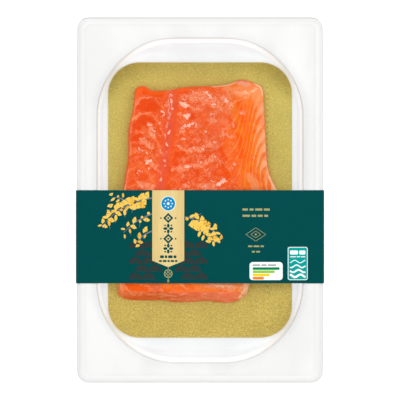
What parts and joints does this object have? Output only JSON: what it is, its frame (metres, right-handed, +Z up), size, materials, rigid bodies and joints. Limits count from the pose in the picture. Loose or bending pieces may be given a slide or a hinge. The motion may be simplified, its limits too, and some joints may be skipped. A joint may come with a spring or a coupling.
{
  "type": "smoked salmon loin in a sealed tray pack",
  "caption": "Thick smoked salmon loin on a gold-faced card in a shallow white tray with a wide flange, a clear lid film and a dark green card sleeve round the middle.",
  "frame": {"origin": "on the surface that the pack lies on, under the middle of its outline", "axes": "+Y towards the end of the pack that the sleeve is further from, +X across the pack, to the right as its sleeve is read, +Z up out of the pack's face"},
  "size_m": [0.1514, 0.223, 0.0165],
  "materials": {
    "tray_plastic": "satin",
    "gold_board": "satin",
    "salmon_flesh": "gloss",
    "clear_film": "gloss",
    "sleeve_board": "satin"
  },
  "bodies": {
    "root": {"tray": "tray_plastic", "gold_card": "gold_board", "salmon_loin": "salmon_flesh", "lid_film": "clear_film", "sleeve": "sleeve_board"}
  },
  "joints": []
}
